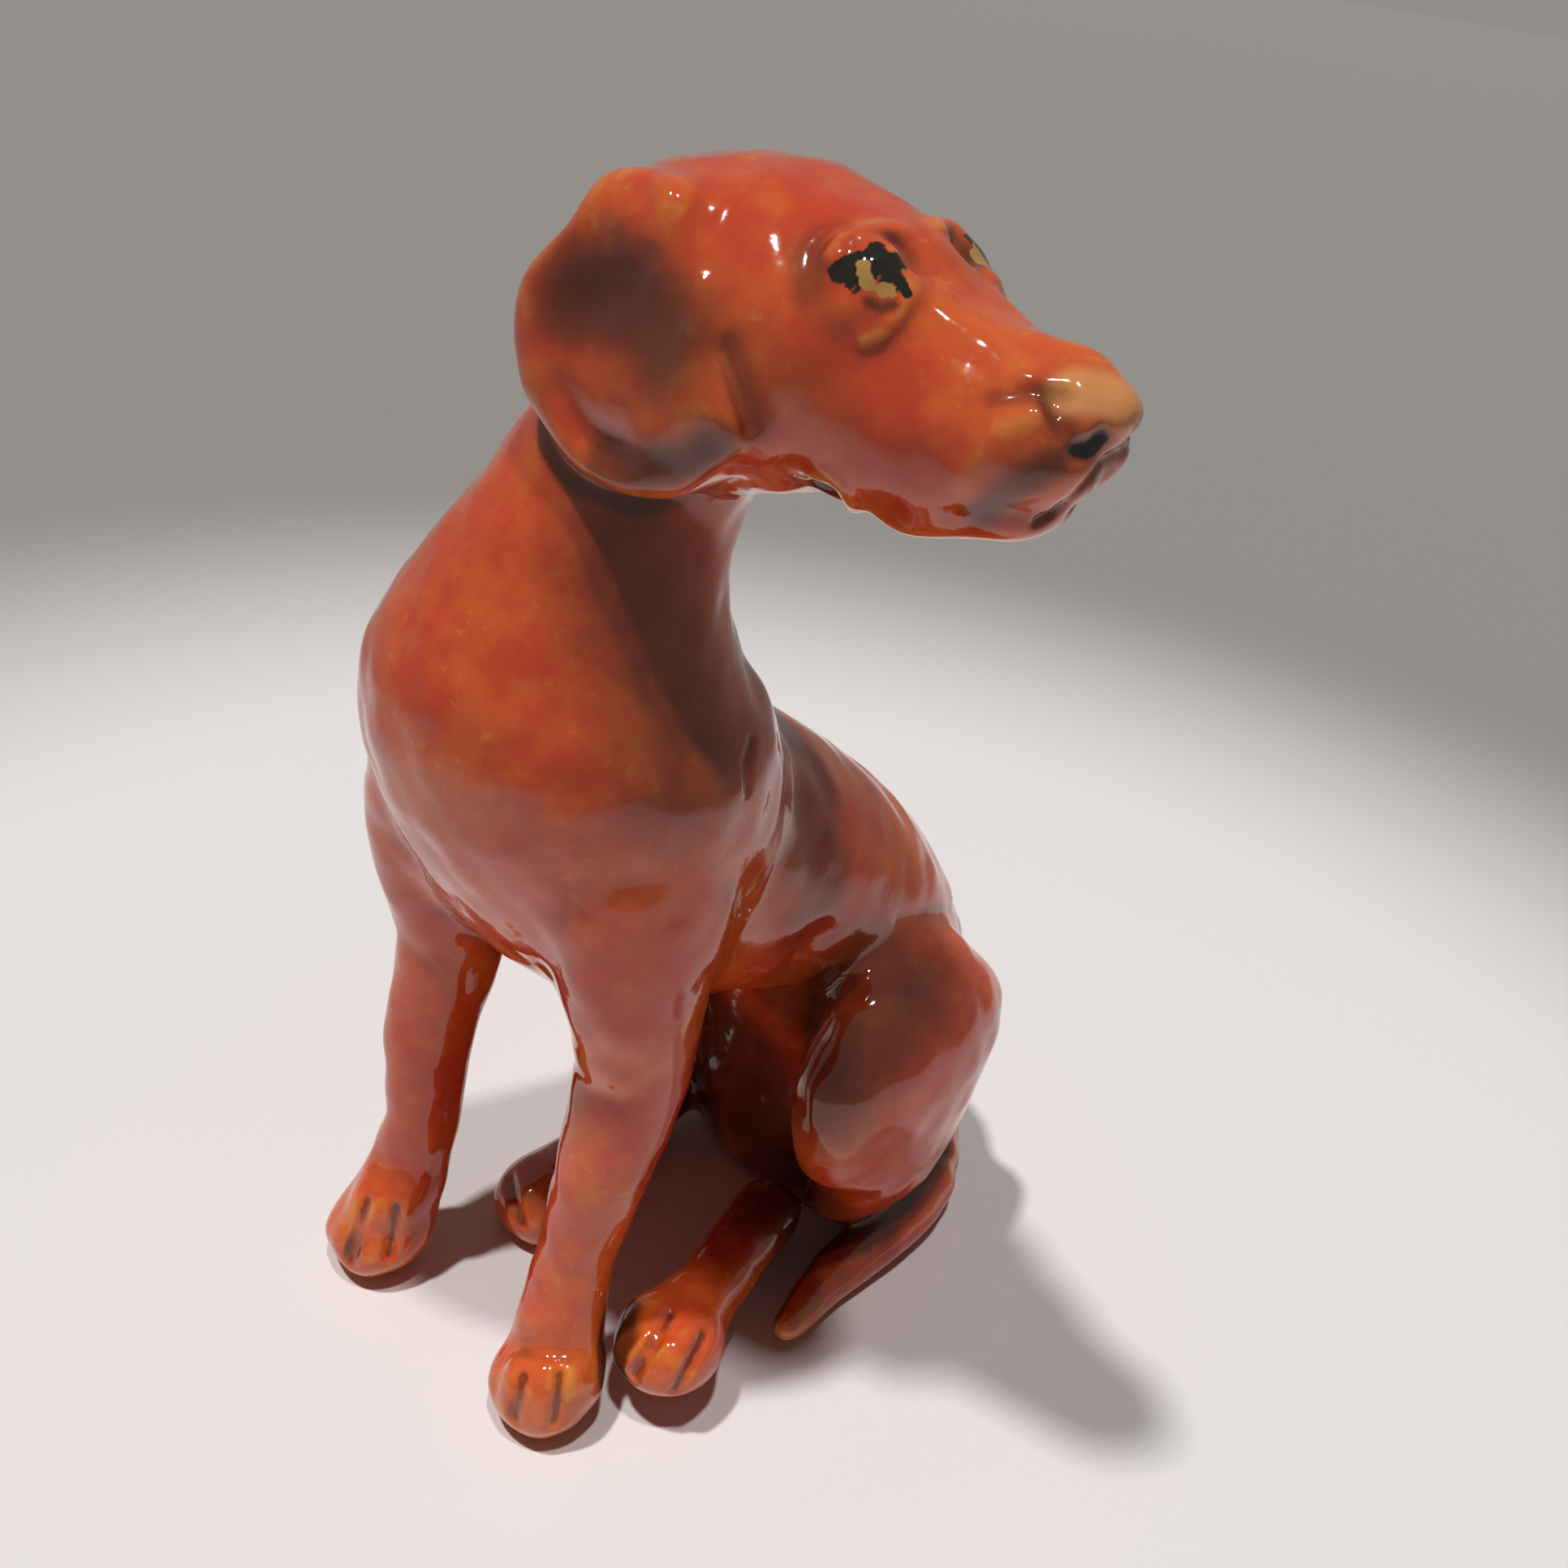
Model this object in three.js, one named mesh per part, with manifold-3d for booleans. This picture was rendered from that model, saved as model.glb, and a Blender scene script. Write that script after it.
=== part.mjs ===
// A glazed ceramic hound that sits upright and looks to its left.
// It is built as a potter builds it: rolls and slabs of clay, each shaped by itself and luted on with slip.
// Millimetres. x is the dog's left, -y its front and z up from the floor.

import * as THREE from 'three';
import { mergeVertices } from 'three/addons/utils/BufferGeometryUtils.js';
import Module from 'manifold-3d';

const wasm = await Module();
wasm.setup();

// The slip line between two luted pieces, and the open line of the mouth
const SLIP_GAP = 0.3;
const MOUTH_GAP = 0.6;

// How deep a round piece is rubbed flat where it meets the floor
const SOLE_DEPTH = 0.4;

// Torso: a seat, the pelvis over it, and a chest that leans forward over the forelegs
const PELVIS_HEIGHT = 25;
const PELVIS_SETBACK = 21;
const PELVIS_SHIFT = 5;
const PELVIS_WIDTH = 42;
const PELVIS_DEPTH = 37;
const SEAT_WIDTH = 36;
const SEAT_DEPTH = 31;
const LOIN_WIDTH = 37;
const LOIN_DEPTH = 36;
const RIB_WIDTH = 38;
const RIB_DEPTH = 32.5;
const BELLY_TUCK = 1.2;
const CHEST_WIDTH = 42;
const CHEST_DEPTH = 41;
const WITHERS_DIP = 1;
const BREAST_WIDTH = 45.5;
const BREAST_DEPTH = 41;
const CHEST_RISE = 44.5;
const CHEST_REACH = 40;
const CHEST_SHIFT = -2.5;
const BACK_ARCH = 24;

// Where loin, ribs and the start of the chest lie along the spine, as shares of it
const LOIN_AT = 0.3;
const RIBS_AT = 0.58;
const CHEST_START_AT = 0.82;

// Neck
const NECK_REACH = 13;
const NECK_RISE = 20;
const NECK_SHIFT = 0.7;
const NECK_BASE_WIDTH = 47;
const NECK_BASE_DEPTH = 40.5;
const NECK_LOW_WIDTH = 36.6;
const NECK_LOW_DEPTH = 36;
const NECK_MIDDLE_WIDTH = 28;
const NECK_MIDDLE_DEPTH = 28;
const NECK_TOP_WIDTH = 23.2;
const NECK_END_WIDTH = 22.4;
const NECK_LENGTH = 34.5;
const NECK_LEAN = 11;
const NECK_THRUST = 3;
const NECK_SWAY = 5.8;
const NECK_SEAM_SLOPE = 0.25;

// Head, measured along its own axes from the middle of the skull
const HEAD_TURN = 90;
const SKULL_AHEAD = 8;
const SKULL_ABOVE = 7;
const SKULL_WIDTH = 29.5;
const SKULL_HEIGHT = 28.6;
const SKULL_LENGTH = 19;
const NAPE_DROP = 3;
const BROW_LENGTH = 12;
const BROW_WIDTH = 26;
const BROW_HEIGHT = 25;
const STOP_WIDTH = 21.5;
const STOP_HEIGHT = 21.5;
const MUZZLE_LENGTH = 22;
const MUZZLE_WIDTH = 19;
const MUZZLE_HEIGHT = 20;
const MUZZLE_DROP = 2.2;
const MUZZLE_TIP_WIDTH = 14.5;
const MUZZLE_TIP_HEIGHT = 10.6;
const MUZZLE_TIP_LIFT = 0.9;

// Features of the head
const JAW_WIDTH = 11;
const JAW_HEIGHT = 5;
const JAW_START = 13;
const JAW_LENGTH = 18.5;
const JAW_DROP = 8.5;
const JAW_SAG = 0.7;
const CHIN_HEIGHT = 4.2;
const CHIN_LIFT = 1.2;
const NOSE_WIDTH = 11.6;
const NOSE_HEIGHT = 5.6;
const NOSE_LENGTH = 7;
const NOSE_LIFT = 2.6;
const EYE_DIAMETER = 6.4;
const EYE_SPACING = 13.5;
const EYE_HEIGHT = 7.4;
const EYE_FORWARD = 14.8;
const LID_DIAMETER = 6.2;
const LID_THICKNESS = 1.7;
const LID_LIFT = 1.8;
const EAR_LENGTH = 22.6;
const EAR_ROOT_WIDTH = 11.5;
const EAR_MIDDLE_WIDTH = 21.5;
const EAR_WIDTH = 27.4;
const EAR_END_WIDTH = 14;
const EAR_THICKNESS = 5.4;
const EAR_SETBACK = 4.6;
const EAR_DROP = 0.6;
const EAR_SWING = 3;
const EAR_STAND_OFF = 1.3;
const EAR_CURL = 1.6;
const EAR_HOLLOW = 1.6;
const EAR_RIM = 3;

// Forelegs
const SHOULDER_SPREAD = 33;
const SHOULDER_REACH = 14;
const SHOULDER_RISE = 3;
const SHOULDER_WIDTH = 14;
const SHOULDER_DEPTH = 21;
const SHOULDER_TOP_SPREAD = 27;
const SHOULDER_TOP_RISE = 13;
const SHOULDER_TOP_WIDTH = 11;
const SHOULDER_TOP_DEPTH = 14;
const ELBOW_SPREAD = 32;
const ELBOW_HEIGHT = 49;
const ELBOW_SETBACK = 1.5;
const ELBOW_WIDTH = 13.2;
const ELBOW_DEPTH = 14;
const WRIST_SPREAD = 29.5;
const WRIST_WIDTH = 9.8;
const WRIST_HEIGHT = 22;
const WRIST_REACH = 17.5;
const PASTERN_WIDTH = 11.6;
const PASTERN_REACH = 2.6;
const PAW_SPREAD = 33;
const PAW_SHIFT = 0.6;
const PAW_WIDTH = 14.2;
const PAW_HEIGHT = 11.4;
const TOE_TAPER = 0.9;
const PAW_LENGTH = 12;

// Hindquarters
const HIP_SPREAD = 38;
const THIGH_TOP_SPREAD = 32;
const THIGH_WIDTH = 17;
const THIGH_LENGTH = 40;
const THIGH_HEIGHT = 48;
const THIGH_REACH = 12;
const RIGHT_KNEE_SPLAY = 3;
const HOCK_REACH = 16;
const HOCK_SPREAD = 27;
const HOCK_SHIFT = -3;
const HOCK_HEIGHT = 10;
const HOCK_WIDTH = 10;
const HIND_FOOT_LENGTH = 30;
const HIND_PAW_WIDTH = 14;
const HIND_PAW_HEIGHT = 11.2;
const LEFT_FOOT_LIFT = 4.8;
const LEFT_FOOT_STEP = 7.5;
const LEFT_TOE_OUT = 8;
const RIGHT_TOE_OUT = -3.5;

// Grooves tooled between the toes
const GROOVE_WIDTH = 1.3;
const TOE_WIDTH = 4.6;

// Tail
const TAIL_THICKNESS = 8.8;
const TAIL_TIP_THICKNESS = 4.5;
const TAIL_ROOT_LIFT = 3;
const TAIL_TIP_LIFT = 1.5;
const TAIL_ROOT_DEPTH = 14.5;
const TAIL_TURN = 11;
const TAIL_BOW = 3;
const TAIL_REACH = 34;

const LEFT = new THREE.Vector3(1, 0, 0);
const UP = new THREE.Vector3(0, 0, 1);
const DOWN = new THREE.Vector3(0, 0, -1);
const point = (x, y, z) => new THREE.Vector3(x, y, z);
const beside = (p, x, y, z) => p.clone().add(point(x, y, z));
const between = (a, b) => (a + b) / 2;

// One oval of a loft: where its middle lies, how wide and deep it is, and how square its corners are
function oval(at, width, depth, square = 2) {
  return { at, width, depth, square };
}

function superellipse(angle, power) {
  const bend = (value) => Math.sign(value) * Math.abs(value) ** (2 / power);
  return [bend(Math.cos(angle)), bend(Math.sin(angle))];
}

// A closed skin through a row of ovals, with round ends. grow moves the whole skin outwards.
// The ovals stand square to their path, or to an axis of their own where one is given.
function loft(ovals, { side = LEFT, axis = null, sides = 20, steps = 3, cap = 0.6, grow = 0 } = {}) {
  const spline = (points) => new THREE.CatmullRomCurve3(points, false, 'catmullrom', 0.5);
  const path = spline(ovals.map((o) => o.at));
  const sizes = spline(ovals.map((o) => point(o.width, o.depth, o.square)));
  const positions = [];
  const index = [];
  const addRing = (t, shrink, shift) => {
    const along = axis ?? path.getTangent(t);
    const up = along.clone().cross(side).normalize();
    const across = up.clone().cross(along).normalize();
    const size = sizes.getPoint(t);
    const middle = path.getPoint(t).addScaledVector(along, shift);
    for (let i = 0; i < sides; i += 1) {
      const [c, s] = superellipse((2 * Math.PI * i) / sides, size.z);
      const p = middle.clone();
      p.addScaledVector(across, c * shrink * (size.x / 2 + grow));
      p.addScaledVector(up, s * shrink * (size.y / 2 + grow));
      positions.push(p.x, p.y, p.z);
    }
  };
  const capLength = (o) => (cap * Math.min(o.width, o.depth)) / 2 + grow;
  const first = capLength(ovals[0]);
  const last = capLength(ovals[ovals.length - 1]);
  const capAngles = [Math.PI * 0.36, Math.PI * 0.2];
  const rings = (ovals.length - 1) * steps;
  capAngles.forEach((a) => addRing(0, Math.cos(a), -first * Math.sin(a)));
  for (let r = 0; r <= rings; r += 1) addRing(r / rings, 1, 0);
  [...capAngles].reverse().forEach((a) => addRing(1, Math.cos(a), last * Math.sin(a)));

  const ringCount = rings + 1 + 2 * capAngles.length;
  const addPole = (t, shift) => {
    const p = path.getPoint(t).addScaledVector(axis ?? path.getTangent(t), shift);
    positions.push(p.x, p.y, p.z);
    return positions.length / 3 - 1;
  };
  const startPole = addPole(0, -first);
  const endPole = addPole(1, last);
  for (let i = 0; i < sides; i += 1) {
    const j = (i + 1) % sides;
    for (let r = 0; r + 1 < ringCount; r += 1) {
      const a = r * sides;
      const b = a + sides;
      index.push(a + i, a + j, b + i, a + j, b + j, b + i);
    }
    index.push(startPole, j, i);
    index.push(endPole, (ringCount - 1) * sides + i, (ringCount - 1) * sides + j);
  }
  const geometry = new THREE.BufferGeometry();
  geometry.setAttribute('position', new THREE.Float32BufferAttribute(positions, 3));
  geometry.setIndex(index);
  return geometry;
}

function solid(geometry) {
  const bare = geometry.clone();
  bare.deleteAttribute('normal');
  bare.deleteAttribute('uv');
  const merged = mergeVertices(bare);
  return new wasm.Manifold(new wasm.Mesh({
    numProp: 3,
    vertProperties: merged.attributes.position.array,
    triVerts: new Uint32Array(merged.index.array),
  }));
}

// Everything that reaches the floor is rubbed flat on it
const onFloor = (shape) => shape.trimByPlane([0, 0, 1], 0);

// The largest body of a cut shape, without the crumbs a cut may leave
function mainBody(shape) {
  return shape.decompose().reduce((a, b) => (a.volume() > b.volume() ? a : b));
}

const RED_GLAZE = 0xb8481f;
const TAN_GLAZE = 0xc08048;
const BLACK_GLAZE = 0x1c120c;
const GLAZE_ROUGHNESS = 0.12;

const dog = new THREE.Group();
dog.name = 'dog';

function place(name, shape, color = RED_GLAZE) {
  const { vertProperties, triVerts } = mainBody(shape).getMesh();
  const geometry = new THREE.BufferGeometry();
  geometry.setAttribute('position', new THREE.BufferAttribute(new Float32Array(vertProperties), 3));
  geometry.setIndex(new THREE.BufferAttribute(new Uint32Array(triVerts), 1));
  geometry.computeVertexNormals();
  const material = new THREE.MeshStandardMaterial({ color, roughness: GLAZE_ROUGHNESS, metalness: 0 });
  const mesh = new THREE.Mesh(geometry, material);
  mesh.name = name;
  dog.add(mesh);
}

// The line of the back runs from the pelvis over an arched loin to the chest
const pelvis = point(PELVIS_SHIFT, PELVIS_SETBACK, PELVIS_HEIGHT);
const chest = point(CHEST_SHIFT, PELVIS_SETBACK - CHEST_REACH, PELVIS_HEIGHT + CHEST_RISE);
const neckBase = beside(chest, NECK_SHIFT, -NECK_REACH, NECK_RISE);
const spine = new THREE.QuadraticBezierCurve3(pelvis, beside(pelvis, 0, 0, BACK_ARCH), chest);

// The neck stands on the chest and leans into the back of the skull as the head turns
const onNeck = (t) => beside(neckBase, NECK_SWAY * t ** 1.5, NECK_LEAN * t * t - NECK_THRUST * t, NECK_LENGTH * t);
const neckTop = onNeck(1);

// Torso and neck share one flowing outline from the seat to the back of the skull
function trunk(grow = 0) {
  const ovals = [
    oval(beside(pelvis, 0, 0, -PELVIS_HEIGHT), SEAT_WIDTH, SEAT_DEPTH, 2.2),
    oval(beside(pelvis, 0, 0, -PELVIS_HEIGHT / 2), PELVIS_WIDTH, PELVIS_DEPTH, 2.2),
    oval(pelvis, PELVIS_WIDTH, PELVIS_DEPTH),
    oval(spine.getPoint(LOIN_AT), LOIN_WIDTH, LOIN_DEPTH),
    oval(beside(spine.getPoint(RIBS_AT), 0, BELLY_TUCK, BELLY_TUCK), RIB_WIDTH, RIB_DEPTH),
    oval(spine.getPoint(CHEST_START_AT), between(RIB_WIDTH, CHEST_WIDTH), between(RIB_DEPTH, CHEST_DEPTH), 2.1),
    oval(beside(chest, 0, -WITHERS_DIP / 2, -WITHERS_DIP), CHEST_WIDTH, CHEST_DEPTH, 2.3),
    oval(beside(chest, NECK_SHIFT / 2, -NECK_REACH * 0.6, NECK_RISE * 0.4), BREAST_WIDTH, BREAST_DEPTH, 2.1),
    oval(neckBase, NECK_BASE_WIDTH, NECK_BASE_DEPTH),
    oval(onNeck(0.25), NECK_LOW_WIDTH, NECK_LOW_DEPTH),
    oval(onNeck(0.5), NECK_MIDDLE_WIDTH, NECK_MIDDLE_DEPTH),
    oval(onNeck(0.75), NECK_TOP_WIDTH, NECK_TOP_WIDTH),
    oval(neckTop, NECK_END_WIDTH, NECK_END_WIDTH),
  ];
  return onFloor(solid(loft(ovals, { sides: 24, cap: 0.5, grow })));
}

// The seam between them slopes down from the withers to the breastbone
const seamUp = point(0, -NECK_SEAM_SLOPE, 1).normalize();
const seamHeight = seamUp.dot(neckBase);
const torso = () => trunk().trimByPlane(seamUp.clone().negate().toArray(), -seamHeight);
const neck = () => trunk().trimByPlane(seamUp.toArray(), seamHeight + SLIP_GAP);

// The head has axes of its own: out along the muzzle, to its left, and up
const turn = THREE.MathUtils.degToRad(HEAD_TURN);
const forward = point(Math.sin(turn), -Math.cos(turn), 0);
const headLeft = point(Math.cos(turn), Math.sin(turn), 0);
const skull = beside(neckTop, 0, 0, SKULL_ABOVE).addScaledVector(forward, SKULL_AHEAD);
const onHead = (ahead, left, up) => skull.clone()
  .addScaledVector(forward, ahead).addScaledVector(headLeft, left).addScaledVector(UP, up);
const MUZZLE_END = BROW_LENGTH + MUZZLE_LENGTH;

function head(grow = 0) {
  const tipWidth = between(MUZZLE_WIDTH, MUZZLE_TIP_WIDTH);
  const tipHeight = between(MUZZLE_HEIGHT, MUZZLE_TIP_HEIGHT);
  const ovals = [
    oval(onHead(-SKULL_LENGTH, 0, -NAPE_DROP), SKULL_WIDTH * 0.58, SKULL_HEIGHT * 0.64),
    oval(onHead(-SKULL_LENGTH * 0.62, 0, -NAPE_DROP / 2), SKULL_WIDTH * 0.8, SKULL_HEIGHT * 0.9),
    oval(onHead(-SKULL_LENGTH * 0.1, 0, 0), SKULL_WIDTH * 0.93, SKULL_HEIGHT),
    oval(onHead(BROW_LENGTH / 2, 0, 0), SKULL_WIDTH, SKULL_HEIGHT * 0.98),
    oval(onHead(BROW_LENGTH, 0, 0), BROW_WIDTH, BROW_HEIGHT, 2.1),
    oval(onHead(BROW_LENGTH + MUZZLE_LENGTH * 0.23, 0, -MUZZLE_DROP * 0.8), STOP_WIDTH, STOP_HEIGHT, 2.1),
    oval(onHead(BROW_LENGTH + MUZZLE_LENGTH * 0.5, 0, -MUZZLE_DROP), MUZZLE_WIDTH, MUZZLE_HEIGHT, 2.2),
    oval(onHead(BROW_LENGTH + MUZZLE_LENGTH * 0.76, 0, -MUZZLE_DROP / 2), tipWidth, tipHeight, 2.3),
    oval(onHead(MUZZLE_END, 0, MUZZLE_TIP_LIFT), MUZZLE_TIP_WIDTH, MUZZLE_TIP_HEIGHT, 2.2),
  ];
  return solid(loft(ovals, { side: headLeft, sides: 24, cap: 0.5, grow }));
}

function lowerJaw(grow = 0) {
  const ovals = [
    oval(onHead(JAW_START, 0, -JAW_DROP), JAW_WIDTH, JAW_HEIGHT),
    oval(onHead(JAW_START + JAW_LENGTH / 2, 0, -JAW_DROP - JAW_SAG), JAW_WIDTH, JAW_HEIGHT),
    oval(onHead(JAW_START + JAW_LENGTH, 0, CHIN_LIFT - JAW_DROP), JAW_WIDTH * 0.9, CHIN_HEIGHT),
  ];
  return solid(loft(ovals, { side: headLeft, sides: 12, cap: 0.9, grow }));
}

function nosePad(grow = 0) {
  const ovals = [
    oval(onHead(MUZZLE_END - NOSE_LENGTH * 0.2, 0, NOSE_LIFT * 1.1), NOSE_WIDTH * 0.9, NOSE_HEIGHT),
    oval(onHead(MUZZLE_END + NOSE_LENGTH * 0.05, 0, NOSE_LIFT), NOSE_WIDTH, NOSE_HEIGHT),
    oval(onHead(MUZZLE_END + NOSE_LENGTH * 0.27, 0, NOSE_LIFT * 0.8), NOSE_WIDTH * 0.77, NOSE_HEIGHT * 0.9),
  ];
  return solid(loft(ovals, { side: headLeft, sides: 14, steps: 2, cap: 0.7, grow }));
}

// The way each eye looks out of the head: s is 1 on the left and -1 on the right
const gaze = (s) => forward.clone().multiplyScalar(0.36)
  .addScaledVector(headLeft, s * 0.66).addScaledVector(UP, 0.66).normalize();
const eyeMiddle = (s) => onHead(EYE_FORWARD, (s * EYE_SPACING) / 2, EYE_HEIGHT);

function eye(s, grow = 0) {
  const ball = new THREE.SphereGeometry(EYE_DIAMETER / 2 + grow, 12, 8);
  ball.translate(...eyeMiddle(s).toArray());
  return solid(ball);
}

function eyelids(s) {
  const ring = new THREE.TorusGeometry(LID_DIAMETER / 2, LID_THICKNESS / 2, 6, 16);
  ring.applyQuaternion(new THREE.Quaternion().setFromUnitVectors(UP, gaze(s)));
  ring.translate(...eyeMiddle(s).addScaledVector(gaze(s), LID_LIFT).toArray());
  return solid(ring);
}

// Each ear is a leaf of clay folded down over the cheek, with a thumbed hollow inside a thick rim.
// Its lower half swings forward, and its front edge curls in towards the cheek.
function earLeaf(s, lift, inset, sides) {
  const at = (swing, out, up) => onHead(
    EAR_SWING * swing - EAR_SETBACK, s * (SKULL_WIDTH / 2 + out + lift), up - EAR_DROP,
  );
  const rim = 2 * inset;
  const top = EAR_LENGTH / 2 - inset;
  const off = EAR_STAND_OFF;
  const leaf = (place, width) => oval(place, width - rim, EAR_THICKNESS, 2.4);
  const geometry = loft([
    leaf(at(-0.2, off - EAR_THICKNESS, top), EAR_ROOT_WIDTH),
    leaf(at(0.1, off - EAR_THICKNESS * 0.45, top * 0.6), between(EAR_ROOT_WIDTH, EAR_MIDDLE_WIDTH)),
    leaf(at(0, off * 0.5, top * 0.2), EAR_MIDDLE_WIDTH),
    leaf(at(0.9, off, -top * 0.32), EAR_WIDTH),
    leaf(at(0.9, off * 0.9, -top * 0.74), between(EAR_WIDTH, EAR_END_WIDTH)),
    leaf(at(1, off * 0.5, -top), EAR_END_WIDTH),
  ], { side: forward, axis: DOWN, sides, steps: 2, cap: 0.6 });
  const middle = onHead(EAR_SWING / 2 - EAR_SETBACK, 0, 0);
  const corners = geometry.attributes.position;
  for (let i = 0; i < corners.count; i += 1) {
    const p = point(0, 0, 0).fromBufferAttribute(corners, i);
    const ahead = Math.max(0, p.clone().sub(middle).dot(forward)) / (EAR_WIDTH / 2);
    p.addScaledVector(headLeft, -s * EAR_CURL * ahead * ahead);
    corners.setXYZ(i, p.x, p.y, p.z);
  }
  return solid(geometry);
}

const ear = (s) => earLeaf(s, 0, 0, 18).subtract(earLeaf(s, EAR_THICKNESS - EAR_HOLLOW, EAR_RIM, 10));

// Two grooves that part a paw into three toes: from the top of the paw over its front
function toeGrooves(tip, height) {
  const reach = height * 0.36;
  return [-1, 1].map((s) => {
    const x = (s * TOE_WIDTH) / 2;
    const at = (out, y, z) => beside(tip, x * out, y, z);
    const ovals = [
      oval(at(0.85, reach, height * 0.56), GROOVE_WIDTH * 0.6, GROOVE_WIDTH),
      oval(at(1, -reach * 0.35, height * 0.4), GROOVE_WIDTH, GROOVE_WIDTH * 1.6),
      oval(at(1.1, -reach * 1.15, -height * 0.1), GROOVE_WIDTH, GROOVE_WIDTH * 1.6),
    ];
    return solid(loft(ovals, { sides: 6, steps: 2, cap: 0.9 }));
  }).reduce((a, b) => a.add(b));
}

// Foreleg: a shoulder laid on the side of the chest, a straight leg, and a paw that steps forward
const shoulder = beside(chest, 0, -SHOULDER_REACH, SHOULDER_RISE);
const wristY = chest.y - WRIST_REACH;
const forePawTip = (s) => point(
  CHEST_SHIFT + PAW_SHIFT + (s * PAW_SPREAD) / 2,
  wristY - PAW_LENGTH * 0.7,
  (PAW_HEIGHT * TOE_TAPER) / 2 - SOLE_DEPTH,
);

function foreleg(s, grow = 0) {
  const at = (spread, y, z) => point(CHEST_SHIFT + (s * spread) / 2, y, z);
  const tip = forePawTip(s);
  const ovals = [
    oval(at(SHOULDER_TOP_SPREAD, shoulder.y, shoulder.z + SHOULDER_TOP_RISE), SHOULDER_TOP_WIDTH, SHOULDER_TOP_DEPTH),
    oval(at(SHOULDER_SPREAD, shoulder.y, shoulder.z), SHOULDER_WIDTH, SHOULDER_DEPTH),
    oval(
      at(SHOULDER_SPREAD, shoulder.y, between(shoulder.z, ELBOW_HEIGHT)),
      SHOULDER_WIDTH, between(SHOULDER_DEPTH, ELBOW_DEPTH),
    ),
    oval(at(ELBOW_SPREAD, shoulder.y + ELBOW_SETBACK, ELBOW_HEIGHT), ELBOW_WIDTH, ELBOW_DEPTH),
    oval(
      at(ELBOW_SPREAD, between(shoulder.y, wristY), between(ELBOW_HEIGHT, WRIST_HEIGHT)),
      between(ELBOW_WIDTH, WRIST_WIDTH), between(ELBOW_DEPTH, WRIST_WIDTH),
    ),
    oval(at(WRIST_SPREAD, wristY, WRIST_HEIGHT), WRIST_WIDTH, WRIST_WIDTH),
    oval(
      at(between(WRIST_SPREAD, PAW_SPREAD), wristY - PASTERN_REACH, between(WRIST_HEIGHT, 0)),
      PASTERN_WIDTH, PASTERN_WIDTH,
    ),
    oval(beside(tip, 0, PAW_LENGTH * 0.3, PAW_HEIGHT * 0.12), PAW_WIDTH, PAW_HEIGHT, 2.2),
    oval(tip, PAW_WIDTH * TOE_TAPER, PAW_HEIGHT * TOE_TAPER, 2.2),
  ];
  return onFloor(solid(loft(ovals, { sides: 18, steps: 2, cap: 0.8, grow })));
}

// Thigh: a flat pear, broad from knee to rump, that narrows to the hock
function thigh(s, grow = 0) {
  const splay = s > 0 ? 0 : RIGHT_KNEE_SPLAY * 2;
  const at = (spread, reach, share) => point(
    PELVIS_SHIFT + (s * spread) / 2, pelvis.y - reach, HOCK_HEIGHT + THIGH_HEIGHT * share,
  );
  const ovals = [
    oval(at(THIGH_TOP_SPREAD, THIGH_REACH, 0.82), THIGH_WIDTH * 0.6, THIGH_LENGTH * 0.55),
    oval(at(HIP_SPREAD + splay, THIGH_REACH, 0.6), THIGH_WIDTH, THIGH_LENGTH * 0.98),
    oval(at(HIP_SPREAD + splay, THIGH_REACH, 0.36), THIGH_WIDTH, THIGH_LENGTH * 0.92),
    oval(at(HIP_SPREAD + splay / 2, THIGH_REACH, 0.16), THIGH_WIDTH * 0.85, THIGH_LENGTH * 0.62),
    oval(at(between(HIP_SPREAD, HOCK_SPREAD), HOCK_REACH, 0), HOCK_WIDTH, THIGH_LENGTH * 0.32),
  ];
  return onFloor(solid(loft(ovals, { sides: 20, cap: 0.7, grow })));
}

// Hind foot: from under the thigh along the floor to its paw. The left one stands clear of the floor.
const hindLift = (s) => (s > 0 ? LEFT_FOOT_LIFT : 0);
const hindStep = (s) => (s > 0 ? LEFT_FOOT_STEP : 0);
const hock = (s) => point(
  PELVIS_SHIFT + HOCK_SHIFT + (s * HOCK_SPREAD) / 2, pelvis.y - HOCK_REACH - hindStep(s), HOCK_HEIGHT * 0.7,
);
function hindPawTip(s) {
  const toeOut = s > 0 ? LEFT_TOE_OUT : RIGHT_TOE_OUT;
  const height = (HIND_PAW_HEIGHT * TOE_TAPER) / 2 - SOLE_DEPTH + hindLift(s);
  return hock(s).add(point(s * toeOut, -HIND_FOOT_LENGTH, 0)).setZ(height);
}

function hindFoot(s, grow = 0) {
  const [heel, tip] = [hock(s), hindPawTip(s)];
  const ovals = [
    oval(heel, HOCK_WIDTH, HOCK_WIDTH),
    oval(heel.clone().lerp(tip, 0.36), HOCK_WIDTH * 0.92, HOCK_WIDTH * 0.92),
    oval(heel.clone().lerp(tip, 0.66), HOCK_WIDTH, HOCK_WIDTH),
    oval(heel.clone().lerp(tip, 0.88), HIND_PAW_WIDTH, HIND_PAW_HEIGHT, 2.2),
    oval(tip, HIND_PAW_WIDTH * TOE_TAPER, HIND_PAW_HEIGHT * TOE_TAPER, 2.2),
  ];
  return onFloor(solid(loft(ovals, { sides: 16, cap: 0.8, grow })));
}

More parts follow.
